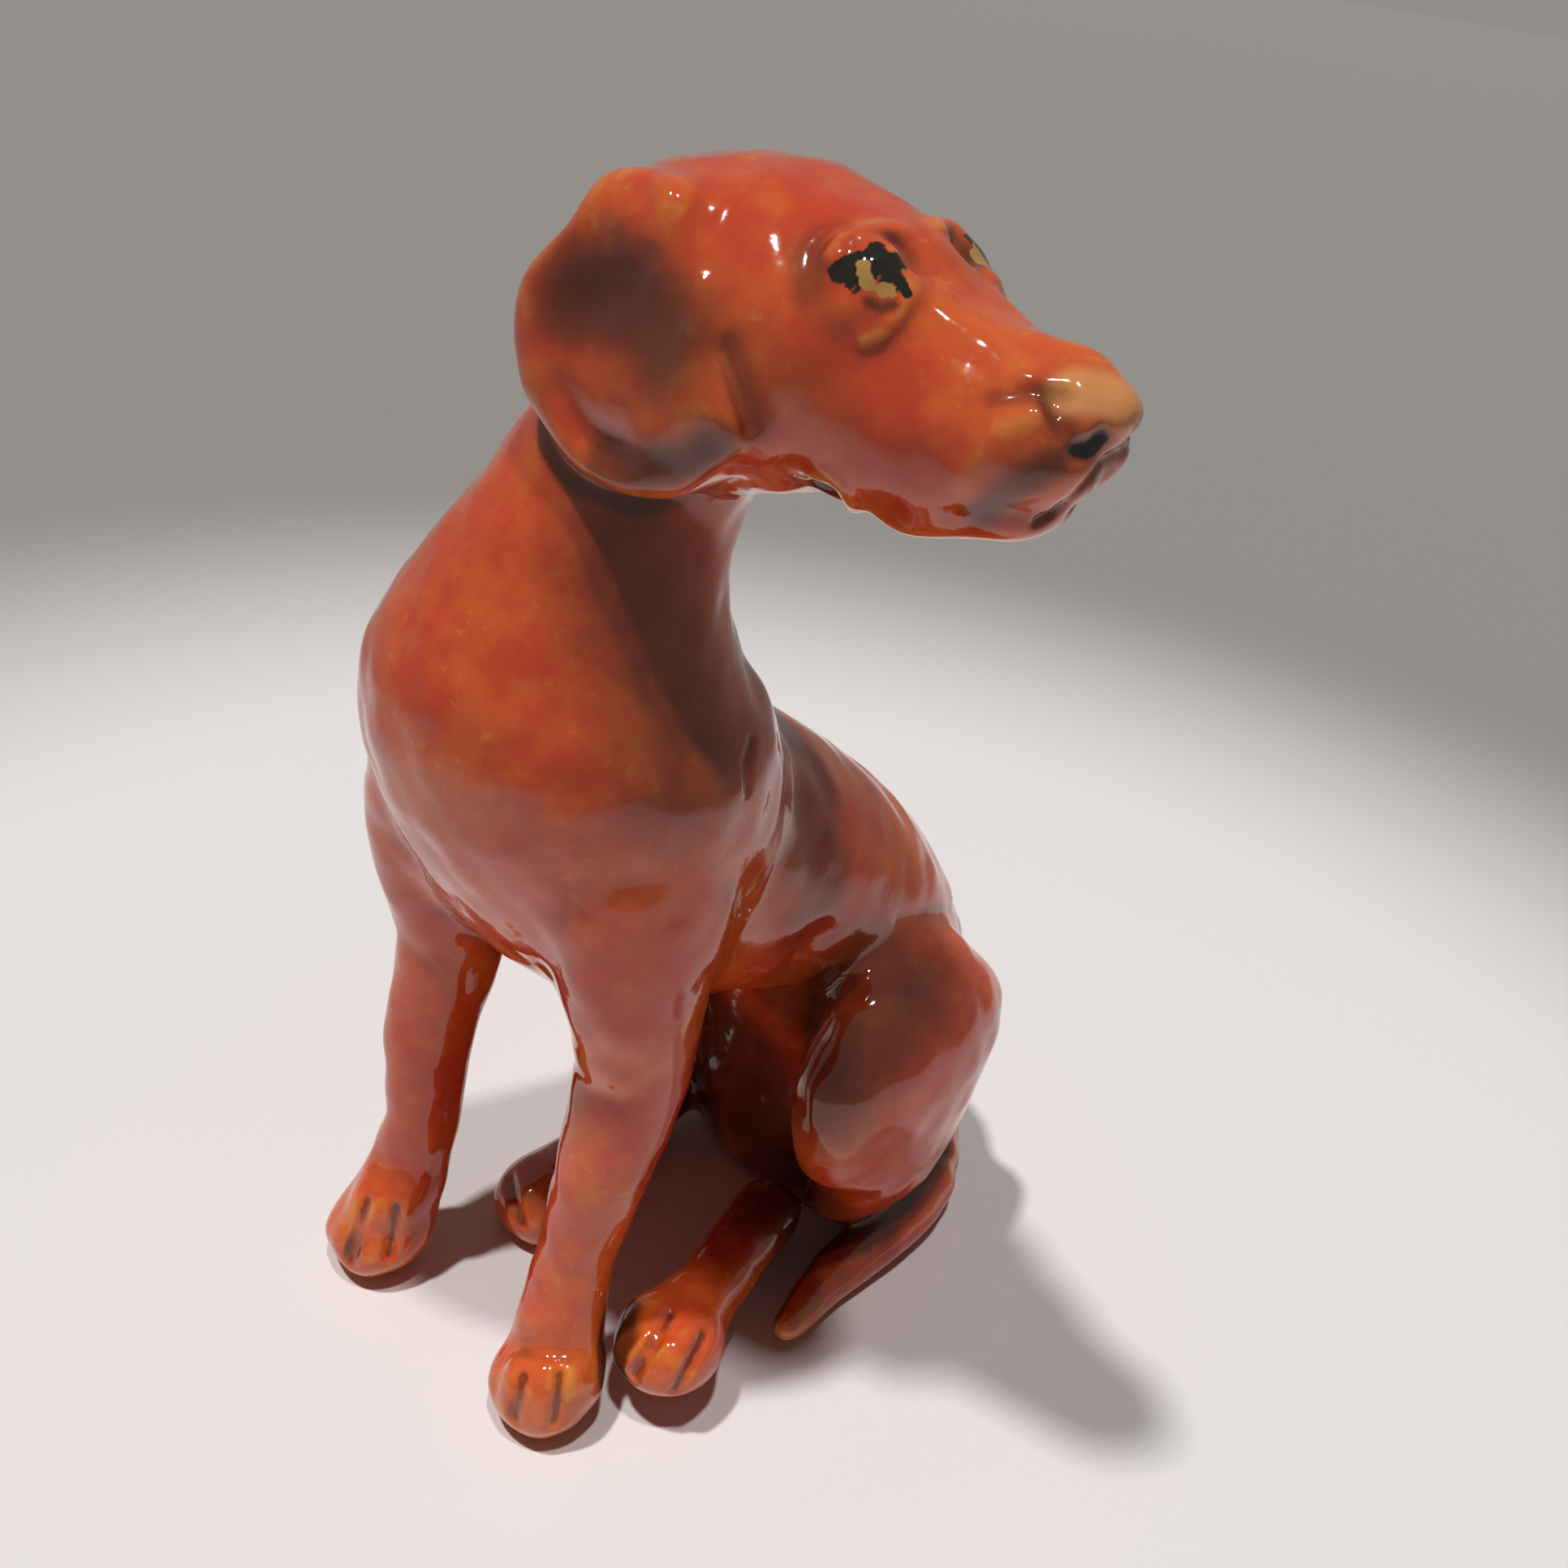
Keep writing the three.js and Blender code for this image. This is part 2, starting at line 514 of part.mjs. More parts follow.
// Tail: from under the rump round the dog's left side to a tip beside the foot
function tail(grow = 0) {
  const out = HIP_SPREAD / 2;
  const lying = (x, y, thickness, lift = 0) => oval(
    point(pelvis.x + x, pelvis.y + y, thickness / 2 - SOLE_DEPTH + lift), thickness, thickness,
  );
  const ovals = [
    lying(TAIL_TURN * 0.2, TAIL_ROOT_DEPTH, TAIL_THICKNESS, TAIL_ROOT_LIFT),
    lying(TAIL_TURN, TAIL_ROOT_DEPTH, TAIL_THICKNESS),
    lying(out + TAIL_BOW / 2, TAIL_BOW / 2, TAIL_THICKNESS),
    lying(out + TAIL_BOW, -TAIL_REACH / 3, TAIL_THICKNESS),
    lying(out + TAIL_BOW, -TAIL_REACH * 0.7, between(TAIL_THICKNESS, TAIL_TIP_THICKNESS)),
    lying(out + TAIL_BOW * 1.6, -TAIL_REACH, TAIL_TIP_THICKNESS, SOLE_DEPTH + TAIL_TIP_LIFT),
  ];
  return onFloor(solid(loft(ovals, { side: UP, sides: 12, steps: 3, cap: 0.9, grow })));
}

const G = SLIP_GAP;
const sockets = (shape) => shape.subtract(eye(1, G)).subtract(eye(-1, G));
place('torso', torso());
place('neck', neck().subtract(head(G)));
place('head', sockets(head().subtract(lowerJaw(MOUTH_GAP)).subtract(nosePad(G))));
place('lower_jaw', lowerJaw());
place('nose_pad', nosePad(), TAN_GLAZE);
place('tail', tail().subtract(trunk(G)));
for (const [side, s] of [['right', -1], ['left', 1]]) {
  place(`${side}_ear`, ear(s).subtract(head(G)).subtract(trunk(G)));
  place(`${side}_eye`, eye(s), BLACK_GLAZE);
  place(`${side}_eyelids`, eyelids(s).subtract(eye(s, G)).subtract(head(G)));
  const forePaw = foreleg(s).subtract(toeGrooves(forePawTip(s), PAW_HEIGHT));
  place(`${side}_foreleg`, forePaw.subtract(trunk(G)));
  place(`${side}_thigh`, thigh(s).subtract(trunk(G)).subtract(tail(G)).subtract(hindFoot(s, G)));
  const hindPaw = hindFoot(s).subtract(toeGrooves(hindPawTip(s), HIND_PAW_HEIGHT));
  place(`${side}_hind_foot`, hindPaw.subtract(trunk(G)).subtract(tail(G)));
}

// The origin is the middle of the figure's footprint, on the floor
const box = new THREE.Box3().setFromObject(dog);
const middle = box.getCenter(point(0, 0, 0)).setZ(box.min.z);
dog.children.forEach((mesh) => mesh.geometry.translate(-middle.x, -middle.y, -middle.z));

export default dog;
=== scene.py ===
"""Looks of a glazed ceramic hound that sits upright and turns its head to its left.

The clay pieces of the frame are luted into one smooth skin, the modelling marks are pressed into it,
and the skin is parted again so that each clay piece stands for its own node.
Sculpting is done in millimetres on a grid of distances, and the finished pieces are in metres.
"""

import math

import bpy
import numpy as np
import openvdb
from mathutils import Matrix, Vector

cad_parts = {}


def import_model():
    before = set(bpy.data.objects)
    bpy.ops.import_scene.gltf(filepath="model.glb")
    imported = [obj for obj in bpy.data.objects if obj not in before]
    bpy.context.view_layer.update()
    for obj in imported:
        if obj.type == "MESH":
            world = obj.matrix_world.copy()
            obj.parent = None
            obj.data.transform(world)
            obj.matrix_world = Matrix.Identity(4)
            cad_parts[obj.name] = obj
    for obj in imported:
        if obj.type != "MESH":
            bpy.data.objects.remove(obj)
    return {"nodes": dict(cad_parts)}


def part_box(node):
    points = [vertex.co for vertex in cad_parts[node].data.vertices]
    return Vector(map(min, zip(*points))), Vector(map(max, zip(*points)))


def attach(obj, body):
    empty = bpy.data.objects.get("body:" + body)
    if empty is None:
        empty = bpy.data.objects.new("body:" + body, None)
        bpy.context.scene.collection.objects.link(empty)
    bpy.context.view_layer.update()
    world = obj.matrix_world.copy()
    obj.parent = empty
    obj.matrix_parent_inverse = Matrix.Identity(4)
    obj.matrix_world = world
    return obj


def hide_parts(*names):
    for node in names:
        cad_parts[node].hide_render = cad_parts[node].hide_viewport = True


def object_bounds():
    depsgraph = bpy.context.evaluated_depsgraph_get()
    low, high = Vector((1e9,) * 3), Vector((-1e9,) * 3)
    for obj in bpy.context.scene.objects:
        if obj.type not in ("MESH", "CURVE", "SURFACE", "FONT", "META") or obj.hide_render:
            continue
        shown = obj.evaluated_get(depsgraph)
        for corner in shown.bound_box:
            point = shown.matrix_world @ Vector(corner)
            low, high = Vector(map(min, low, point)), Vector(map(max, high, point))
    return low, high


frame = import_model()
CAD_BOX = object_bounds()
MM = 0.001
BOX_LOW, BOX_HIGH = (np.array(corner) / MM for corner in CAD_BOX)

# The grid: the size of a cell, how far from the clay distances are known, and the room round the box
CELL = 0.4
BAND = 6.0
MARGIN = BAND + 1.0
GRID_LOW = np.floor((BOX_LOW - MARGIN) / CELL).astype(int)
GRID_SHAPE = np.ceil((BOX_HIGH + MARGIN) / CELL).astype(int) - GRID_LOW
WHOLE_GRID = tuple(slice(0, count) for count in GRID_SHAPE)
# The last place on the grid that still has a cell beyond it
LAST_PLACE = GRID_SHAPE - 1.001

# How far a bell and the flatter touch of a thumb reach, in their own widths
BELL_REACH = 2.6
THUMB_REACH = 2.2
# Keeps a divisor from being nought
TINY = 1e-9

# The camera of the photograph: the image's side and the focal length in pixels, the place in millimetres
# and the nearest and farthest that it sees in metres
IMAGE_SIZE = 1932
FOCAL_PIXELS = 1896.0
CAMERA_PLACE = (90.3, -126.35, 165.0)
CAMERA_AZIMUTH = math.radians(36.4)
CAMERA_PITCH = math.radians(30.0)
CAMERA_ROLL = math.radians(9.2)
CAMERA_REACH = (0.01, 60.0)

# A ray from the camera to the skin: where it starts, the share of the free way that each step takes,
# the number of steps, and how far from the skin it may end
RAY_START = 60.0
RAY_STRIDE = 0.8
RAY_STEPS = 160
RAY_MISS = 0.1

# The skin's slope is taken over this step, and a point is moved onto the skin in this many steps
SLOPE_STEP = 0.5
SNAP_STEPS = 6

# Clay pieces: the width of the bell that smooths each, and the fillet of slip round it
HIND_PIECES = {
    "right_thigh": (1.4, 3.5),
    "left_thigh": (1.4, 3.5),
    "right_hind_foot": (0.9, 3.0),
    "left_hind_foot": (0.9, 3.0),
    "tail": (0.9, 2.0),
}
FRONT_PIECES = {
    "head": (1.3, 6.0),
    "right_foreleg": (1.0, 5.0),
    "left_foreleg": (1.0, 5.0),
    "lower_jaw": (0.8, 3.0),
    "right_ear": (1.0, 2.2),
    "left_ear": (1.0, 2.2),
    "nose_pad": (1.2, 3.0),
    "right_eyelids": (0.8, 2.6),
    "left_eyelids": (0.8, 2.6),
    "right_eye": (0.5, 1.4),
    "left_eye": (0.5, 1.4),
}
# The width of the bell for the trunk, how far its nodes are swollen to close the slip line between them,
# and how deep the clay is that fills the room behind an ear
TRUNK_BLUR = 2.2
SLIP_GAP = 0.3
EAR_BACKING = 4.4

# Modelling marks, pressed in this order: a path of pixels of the photograph, then the radius
# and the depth in millimetres. A depth below nought lays clay on. Where the name starts with smooth,
# the clay is smoothed instead, and the last number is the width of the bell that does it.
# The marks of the head and of the body are mirrored to the far side, and the one-sided ones aren't.
HEAD_MARKS = {
    "ear_top_roll": (((722, 312), (760, 278), (815, 252)), 2.2, -0.9),
    "smooth_ear_front": (((768, 262), (773, 330), (782, 400), (800, 430)), 3.6, 2.0),
    "ear_front_fill": (((772, 275), (778, 330), (790, 385)), 2.6, -0.8),
    "ear_hollow": (((715, 372), (745, 366), (775, 385)), 4.6, 1.1),
    "smooth_ear_hollow": (((725, 350), (755, 375), (795, 385)), 4.6, 1.7),
    "ear_front_lip": (((868, 355), (866, 390), (856, 408)), 0.9, -0.6),
    "ear_step": (((700, 455), (770, 470), (840, 465)), 3.2, -0.6),
    "ear_lower_groove": (((690, 485), (718, 530), (765, 565), (825, 570), (866, 550)), 1.8, 0.6),
    "smooth_ear_step": (((884, 205), (889, 260), (886, 310)), 1.6, 1.0),
    "ear_second_crease": (((893, 430), (912, 475), (926, 525)), 0.9, 0.6),
    "skull_swell": (((875, 245), (915, 232)), 5.5, -0.5),
    "smooth_temple": (((1010, 300), (1022, 350), (1040, 385), (1075, 400)), 2.6, 1.6),
    "temple_hollow": (((985, 300), (985, 350)), 4.0, 0.2),
    "socket_fill": (((1045, 378), (1078, 392)), 2.0, -0.5),
    "upper_lid": (((1028, 318), (1040, 300), (1064, 288), (1090, 282), (1106, 286)), 0.9, -0.7),
    "under_lid": (((1124, 356), (1116, 374), (1104, 392), (1088, 412), (1066, 420)), 0.9, -0.4),
    "bridge_side": (((1215, 440), (1258, 465), (1298, 482)), 2.6, 0.3),
    "bridge_fill": (((1275, 432), (1310, 447), (1340, 462)), 2.4, -0.7),
    "smooth_bridge": (((1250, 440), (1300, 455), (1345, 475)), 3.0, 1.6),
    "bridge_edge": (((1135, 365), (1165, 385), (1215, 418), (1262, 458)), 1.6, -0.3),
    "cheek_hollow": (((1140, 440), (1200, 480)), 3.5, 0.4),
    "pad_crease": (((1303, 492), (1300, 508), (1312, 530)), 0.8, 0.3),
    "nose_crease": (((1222, 492), (1262, 492), (1304, 498)), 1.2, 0.3),
    "whisker_ridge": (((1272, 510), (1232, 535), (1190, 585)), 1.4, -0.5),
    "nostril": (((1326, 556), (1342, 551), (1356, 539)), 0.75, 0.8),
    "smooth_chin": (((1388, 545), (1366, 590), (1325, 640)), 1.8, 1.1),
    "nose_tip": (((1384, 496), (1392, 508)), 2.2, -0.35),
    "mouth": (((1370, 566), (1330, 604), (1304, 626), (1282, 642)), 0.6, 0.5),
    "lip_corner": (((1010, 597), (1034, 624)), 1.1, 1.8),
    "lip_corner_rim": (((996, 584), (1020, 584), (1044, 604), (1052, 626)), 0.8, -0.5),
}
BODY_MARKS = {
    "flank_crease": (((1108, 1130), (1145, 1126), (1178, 1118)), 0.9, 0.3),
    "thigh_hollow": (((975, 1205), (1005, 1165)), 3.0, 1.4),
    "knee_swell": (((1055, 1262), (1082, 1246)), 3.2, -2.0),
}
ONE_SIDED_MARKS = {
    "shoulder_slit": (((927, 912), (921, 940), (923, 975)), 0.55, 0.6),
    "right_fore_instep": (((466, 1438), (490, 1438)), 2.4, 0.7),
    "right_fore_knuckles": (((450, 1486), (492, 1490)), 2.6, -1.7),
    "left_fore_instep": (((655, 1662), (690, 1666)), 2.2, 0.5),
    "left_fore_knuckles": (((644, 1698), (694, 1702)), 2.3, -2.0),
    "right_fore_toe_a": (((451, 1480), (430, 1552)), 0.7, 1.35),
    "right_fore_toe_b": (((488, 1490), (480, 1545)), 0.7, 1.35),
    "left_fore_toe_a": (((644, 1698), (632, 1748)), 0.7, 1.35),
    "left_fore_toe_b": (((690, 1695), (684, 1752)), 0.7, 1.35),
    "left_hind_toe_a": (((826, 1620), (780, 1695)), 0.75, 1.2),
    "left_hind_toe_b": (((868, 1645), (832, 1715)), 0.75, 1.2),
    "right_hind_toe": (((627, 1450), (640, 1505)), 0.8, 0.9),
}
# A path of pixels gets points at these shares of each of its stretches
STRETCH_SHARES = (0, 0.33, 0.67)

# Waves left by the fingers: how long and how high, how many cross each other, and the seed of their draw
WAVE_LENGTHS = (4.5, 9.0)
WAVE_HEIGHT = 0.07
WAVE_COUNT = 14
WAVE_SEED = 7


# Fields of distances

def cells(low, high, pad=BAND):
    """The part of the grid that holds a box in millimetres, as slices."""
    start = np.floor((np.asarray(low) - pad) / CELL).astype(int) - GRID_LOW
    stop = np.ceil((np.asarray(high) + pad) / CELL).astype(int) - GRID_LOW + 1
    start = np.clip(start, 0, GRID_SHAPE - 1)
    stop = np.clip(stop, start + 1, GRID_SHAPE)
    return tuple(slice(a, b) for a, b in zip(start, stop))


def first_cell(part):
    """The grid's own number of the lowest cell of a part of it."""
    return tuple(int(s.start + low) for s, low in zip(part, GRID_LOW))


def places(part):
    """The x, y and z of the cells of a part of the grid, in millimetres, ready to broadcast."""
    axes = [(np.arange(s.start, s.stop) + low) * CELL for s, low in zip(part, GRID_LOW)]
    return np.meshgrid(*axes, indexing="ij", sparse=True)


def blurred(field, sigma):
    """A field smoothed by a bell of width sigma, in millimetres."""
    reach = max(1, int(round(BELL_REACH * sigma / CELL)))
    taps = np.exp(-0.5 * (np.arange(-reach, reach + 1) * CELL / sigma) ** 2)
    taps = (taps / taps.sum()).astype(np.float32)
    for axis in range(3):
        field = np.moveaxis(field, axis, 0)
        padded = np.concatenate([field[:1].repeat(reach, 0), field, field[-1:].repeat(reach, 0)])
        field = sum(tap * padded[i:i + len(field)] for i, tap in enumerate(taps))
        field = np.moveaxis(field, 0, axis)
    return field


def polygons_field(points, triangles, part):
    """The distance of each cell of a part of the grid from a closed mesh, less than nought inside."""
    level_set = openvdb.FloatGrid.createLevelSetFromPolygons(
        points.astype(np.float32), triangles=triangles.astype(np.uint32),
        transform=openvdb.createLinearTransform(CELL), halfWidth=BAND / CELL,
    )
    field = np.empty([s.stop - s.start for s in part], np.float32)
    level_set.copyToArray(field, ijk=first_cell(part))
    return field


def surface_of(field, part):
    """The skin of a field where the distance is nought: points in millimetres, and quads."""
    grid = openvdb.FloatGrid(BAND)
    grid.copyFromArray(np.ascontiguousarray(field), ijk=first_cell(part))
    grid.transform = openvdb.createLinearTransform(CELL)
    points, quads = grid.convertToQuads()
    return points.astype(float), quads.astype(int)


def smooth_union(a, b, fillet):
    """Joins two fields with a fillet of clay in the corner between them."""
    share = np.clip(0.5 + 0.5 * (b - a) / fillet, 0, 1)
    return b + (a - b) * share - fillet * share * (1 - share)


def rise(low, high, value):
    """Nought at low, one at high, and a smooth rise between them; low may be the greater."""
    share = np.clip((value - low) / (high - low), 0, 1)
    return share * share * (3 - 2 * share)


def path_distance(place, path):
    """How far places, given as their x, y and z, are from a path of points."""
    nearest = sum((c - start) ** 2 for c, start in zip(place, path[0]))
    for a, b in zip(path[:-1], path[1:]):
        step = b - a
        along = sum((c - start) * s for c, start, s in zip(place, a, step))
        share = np.clip(along / (step @ step + TINY), 0, 1)
        square = sum((c - start - share * s) ** 2 for c, start, s in zip(place, a, step))
        nearest = np.minimum(nearest, square)
    return np.sqrt(nearest)


# Nodes of the frame

def node_mesh(name):
    """The points, in millimetres, and triangles of a node of the frame."""
    mesh = frame["nodes"][name].data
    mesh.calc_loop_triangles()
    points = np.empty(len(mesh.vertices) * 3)
    mesh.vertices.foreach_get("co", points)
    triangles = np.empty(len(mesh.loop_triangles) * 3, int)
    mesh.loop_triangles.foreach_get("vertices", triangles)
    return points.reshape(-1, 3) / MM, triangles.reshape(-1, 3)


def node_field(name):
    """The part of the grid round a node, and the distances of its cells from the node."""
    points, triangles = node_mesh(name)
    part = cells(points.min(0), points.max(0))
    return part, polygons_field(points, triangles, part)


def node_middle(name):
    """The middle of a node's box, in millimetres."""
    low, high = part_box(name)
    return (np.array(low) + np.array(high)) / 2 / MM


def toe_distance(name, points):
    """How far points are from the toes of a leg, which end where its box is foremost and lowest."""
    low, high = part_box(name)
    toes = np.array([(low[0] + high[0]) / 2, low[1], low[2]]) / MM
    return np.linalg.norm(points - toes, axis=1)


# The skin of clay

def camera_axes():
    """The camera's right, down and forward directions."""
    sin_a, cos_a = math.sin(CAMERA_AZIMUTH), math.cos(CAMERA_AZIMUTH)
    sin_p, cos_p = math.sin(CAMERA_PITCH), math.cos(CAMERA_PITCH)
    forward = np.array([-sin_a * cos_p, cos_a * cos_p, -sin_p])
    level = np.array([cos_a, sin_a, 0.0])
    down = np.cross(forward, level)
    cos_r, sin_r = math.cos(CAMERA_ROLL), math.sin(CAMERA_ROLL)
    return level * cos_r - down * sin_r, level * sin_r + down * cos_r, forward


def backed(distance, inward):
    """The distances from an ear with clay behind it, along Y towards the middle of the head."""
    for _ in range(int(EAR_BACKING / CELL)):
        distance = np.minimum(distance, np.roll(distance, inward, 1))
    return distance


class Skin:
    """The whole dog as one field, with the number of the nearest node in each cell."""

    def __init__(self):
        self.field = np.full(GRID_SHAPE, BAND, np.float32)
        self.nearest = np.full(GRID_SHAPE, BAND, np.float32)
        self.label = np.full(GRID_SHAPE, -1, np.int8)
        self.names = []

    def claim(self, name, part, distance):
        """Marks the cells that lie nearer to this node than to the ones before it."""
        self.names.append(name)
        closer = distance < self.nearest[part]
        self.nearest[part][closer] = distance[closer]
        self.label[part][closer] = len(self.names) - 1

    def add(self, name, blur, fillet):
        """Lutes one node on; an ear also gets clay behind it."""
        part, distance = node_field(name)
        if name.endswith("_ear"):
            inward = int(np.sign(node_middle("head")[1] - node_middle(name)[1]))
            distance = backed(distance, inward)
        self.claim(name, part, distance)
        self.field[part] = smooth_union(self.field[part], blurred(distance, blur), fillet)

    def press(self, path, radius, depth):
        """Presses a groove along a path, or lays a ridge on it where depth is below nought."""
        part = cells(path.min(0), path.max(0), BELL_REACH * radius)
        self.field[part] += depth * np.exp(-(path_distance(places(part), path) / radius) ** 2)

    def smooth(self, path, radius, blur):
        """Smooths the clay along a path, as a thumb does."""
        part = cells(path.min(0), path.max(0), THUMB_REACH * radius + BELL_REACH * blur)
        weight = np.exp(-(path_distance(places(part), path) / radius) ** 4)
        self.field[part] += weight * (blurred(self.field[part], blur) - self.field[part])

    def sample(self, points):
        """The field at points in millimetres, blended from the eight cells round each."""
        at = np.clip(np.asarray(points) / CELL - GRID_LOW, 0, LAST_PLACE)
        base = at.astype(int)
        share = at - base
        total = 0.0
        for corner in np.ndindex(2, 2, 2):
            weight = np.prod(np.where(corner, share, 1 - share), axis=-1)
            index = base + corner
            total = total + weight * self.field[index[..., 0], index[..., 1], index[..., 2]]
        return total

    def beside(self, points, step):
        """The field a step up and a step down each axis from points."""
        return [
            (self.sample(points + step * axis), self.sample(points - step * axis)) for axis in np.eye(3)
        ]

    def gradient(self, points):
        """The outward direction of the skin at points."""
        slope = np.stack([up - down for up, down in self.beside(points, SLOPE_STEP)], -1)
        return slope / np.maximum(np.linalg.norm(slope, axis=-1, keepdims=True), TINY)

    def curvature(self, points, step):
        """How sharply the skin bulges at points, over a step in millimetres; below nought in hollows."""
        around = sum(up + down for up, down in self.beside(points, step))
        return (around - 6 * self.sample(points)) / step ** 2

    def snapped(self, points):
        """Points moved straight onto the skin."""
        for _ in range(SNAP_STEPS):
            points = points - self.sample(points)[:, None] * self.gradient(points)
        return points

    def seen_at(self, pixels):
        """The points of the skin that the photograph shows at pixels, without those that miss it."""
        right, down, forward = camera_axes()
        offset = (np.asarray(pixels, float) - IMAGE_SIZE / 2) / FOCAL_PIXELS
        rays = forward + offset[:, :1] * right + offset[:, 1:] * down
        rays /= np.linalg.norm(rays, axis=1, keepdims=True)
        eye = np.array(CAMERA_PLACE)
        travelled = np.full(len(rays), RAY_START)
        for _ in range(RAY_STEPS):
            travelled += RAY_STRIDE * self.sample(eye + rays * travelled[:, None])
        points = eye + rays * travelled[:, None]
        return points[np.abs(self.sample(points)) < RAY_MISS]


def luted_trunk(skin):
    """Torso and neck have one flowing outline, so their slip line is closed before they are smoothed."""
    for name in ("torso", "neck"):
        part, distance = node_field(name)
        skin.claim(name, part, distance)
        skin.field[part] = np.minimum(skin.field[part], distance - SLIP_GAP)
    part = cells(BOX_LOW, BOX_HIGH)
    points, quads = surface_of(skin.field[part], part)
    triangles = np.concatenate([quads[:, [0, 1, 2]], quads[:, [0, 2, 3]]])
    skin.field[part] = blurred(polygons_field(points, triangles, part) + SLIP_GAP, TRUNK_BLUR)


def clay_skin():
    """The trunk with its hindquarters and with its front, which don't web into each other."""
    skin = Skin()
    luted_trunk(skin)
    trunk = skin.field.copy()
    for name, (blur, fillet) in HIND_PIECES.items():
        skin.add(name, blur, fillet)
    hind = skin.field
    skin.field = trunk
    for name, (blur, fillet) in FRONT_PIECES.items():
        skin.add(name, blur, fillet)
    skin.field = np.minimum(skin.field, hind)
    return skin


# Modelling marks

def pixel_path(skin, pixels):
    """A path on the skin under a path of pixels."""
    pixels = np.array(pixels, float)
    steps = [
        start + (end - start) * share
        for start, end in zip(pixels[:-1], pixels[1:]) for share in STRETCH_SHARES
    ]
    return skin.seen_at(np.array(steps + [pixels[-1]]))


def head_mirrored(skin, path):
    """The same path on the other side of the head, which points straight along X."""
    middle = node_middle("head")[1]
    return skin.snapped(path * (1, -1, 1) + (0, 2 * middle, 0))


def body_mirrored(skin, path):
    """The same path on the other side of the trunk, whose middle runs from the pelvis to the chest."""
    pelvis, chest = node_middle("torso"), node_middle("neck")
    share = (path[:, 1] - pelvis[1]) / (chest[1] - pelvis[1])
    middle = pelvis[0] + share * (chest[0] - pelvis[0])
    path = path.copy()
    path[:, 0] = 2 * middle - path[:, 0]
    return skin.snapped(path)


def skin_paths(skin, pixels, mirrored):
    """The path on the skin under a path of pixels, and its mirror image where there is one."""
    path = pixel_path(skin, pixels)
    return [path, mirrored(skin, path)] if mirrored else [path]


def finger_waves(skin):
    """Gentle waves all over, as fingers leave them, so that highlights break up."""
    random = np.random.default_rng(WAVE_SEED)
    x, y, z = places(WHOLE_GRID)
    waves = np.zeros(GRID_SHAPE, np.float32)
    for _ in range(WAVE_COUNT):
        direction = random.normal(size=3)
        direction *= 2 * math.pi / random.uniform(*WAVE_LENGTHS) / np.linalg.norm(direction)
        phase = random.uniform(0, 2 * math.pi)
        level = np.exp(1j * (direction[0] * x + phase)) * np.exp(1j * direction[1] * y)
        upright = np.exp(1j * direction[2] * z)
        waves += (level.astype(np.complex64) * upright.astype(np.complex64)).real
    skin.field += waves * (WAVE_HEIGHT / math.sqrt(WAVE_COUNT / 2))


def sculpt(skin):
    """Presses every mark, rubs the dog flat on the floor, and gives the paths of the toe grooves."""
    grooves = []
    groups = ((HEAD_MARKS, head_mirrored), (BODY_MARKS, body_mirrored), (ONE_SIDED_MARKS, None))
    for marks, mirrored in groups:
        for name, (pixels, radius, depth_or_blur) in marks.items():
            work = skin.smooth if name.startswith("smooth") else skin.press
            paths = skin_paths(skin, pixels, mirrored)
            for path in paths:
                work(path, radius, depth_or_blur)
            if "toe" in name:
                grooves.append((paths[0], radius))
    finger_waves(skin)
    skin.field = np.maximum(skin.field, -places(WHOLE_GRID)[2].astype(np.float32))
    return grooves


# Glaze thickness, painted shade and painted spots, one number for each point of the skin

# Each spot's name starts with what it paints: thin glaze, the brown of pooled glaze and of painted
# shade, tan, ink or ochre.
# It has a path of pixels, a radius in millimetres and a strength.
SPOTS = {
    "ink_corner": (((1036, 334), (1050, 342)), 1.0, 1.0),
    "ink_rim": (((1054, 318), (1082, 302)), 0.45, 1.0),
    "ink_ball": (((1080, 312), (1092, 324), (1100, 342)), 1.35, 1.0),
    "ink_tail": (((1108, 348), (1118, 360)), 0.45, 1.0),
    "ink_nostril": (((1328, 556), (1342, 551), (1355, 540)), 0.6, 1.0),
    "pool_nostril": (((1326, 556), (1342, 551), (1356, 539)), 0.7, 1.0),
    "ochre_patch": (((1062, 326), (1064, 344), (1076, 354), (1098, 361)), 0.55, 0.8),
    "tan_pad": (((1328, 480), (1360, 484), (1388, 496), (1400, 508)), 2.1, 1.0),
    "pool_eye": (((1070, 372), (1084, 380), (1100, 376)), 0.55, 0.9),
    # Brown in the ear's hollow, partly pooled glaze and partly painted shade
    "pool_ear": (((722, 365), (748, 360), (790, 385), (820, 420)), 5.2, 1.0),
    "pool_ear_rim": (((745, 560), (785, 575), (850, 568), (880, 548)), 2.2, 0.9),
    # Brown in the crease behind the ear, partly pooled glaze and partly painted shade under the ear
    "pool_behind_ear": (((898, 420), (915, 480), (928, 530)), 1.8, 0.6),
    # Painted shade: a dark band on the side of the muzzle above the lip
    "pool_lip": (((1300, 570), (1256, 598), (1206, 634)), 1.7, 0.85),
    "pool_mouth": (((1370, 566), (1330, 604), (1304, 626), (1282, 642)), 0.4, 0.7),
    "pool_nose_crease": (((1226, 492), (1262, 492), (1304, 498)), 1.1, 0.6),
    "pool_lip_corner": (((1010, 597), (1034, 624)), 1.1, 1.0),
    "thin_brow": (((1040, 285), (1075, 272), (1115, 276)), 1.4, 0.8),
    "thin_bridge": (((1135, 370), (1175, 392), (1220, 425), (1250, 450)), 2.2, 0.7),
    "thin_whiskers": (((1270, 512), (1232, 535), (1190, 588)), 1.0, 0.7),
}
